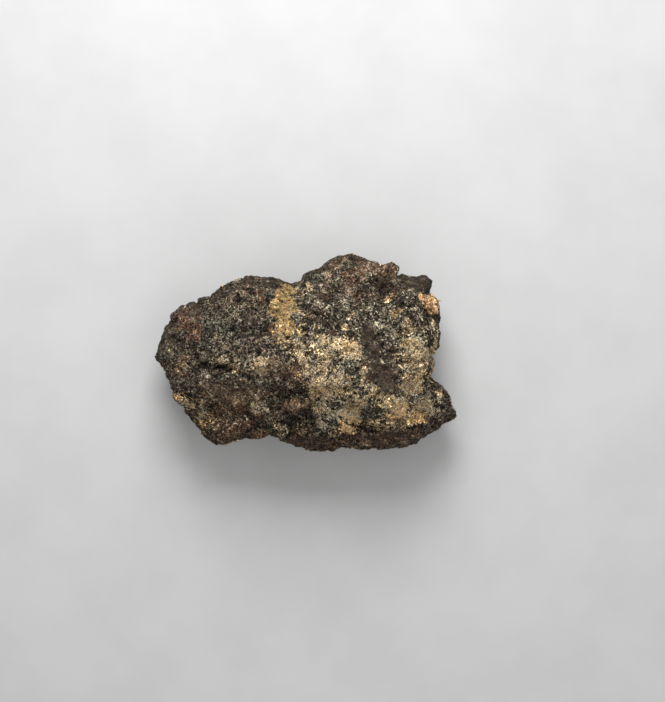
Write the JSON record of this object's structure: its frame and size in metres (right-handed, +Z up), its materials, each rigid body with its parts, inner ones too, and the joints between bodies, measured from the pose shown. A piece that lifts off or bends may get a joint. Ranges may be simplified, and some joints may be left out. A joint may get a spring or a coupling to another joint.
{
  "type": "chondrite meteorite",
  "caption": "Small broken fragment of a weathered stony meteorite with a dark crust and pale tan grains, resting on a flat spot of its underside.",
  "frame": {"origin": "middle of the stone's footprint, at the height of the flat spot that it rests on", "axes": "+X along the stone's longest extent, from the pointed left end to the right end; +Y to its far side, where the notch and the raised lobe are; +Z up, along its shortest extent"},
  "size_m": [0.0076, 0.005, 0.0033],
  "materials": {
    "weathered_chondrite": "matte"
  },
  "bodies": {
    "root": {"stone": "weathered_chondrite"}
  },
  "joints": []
}
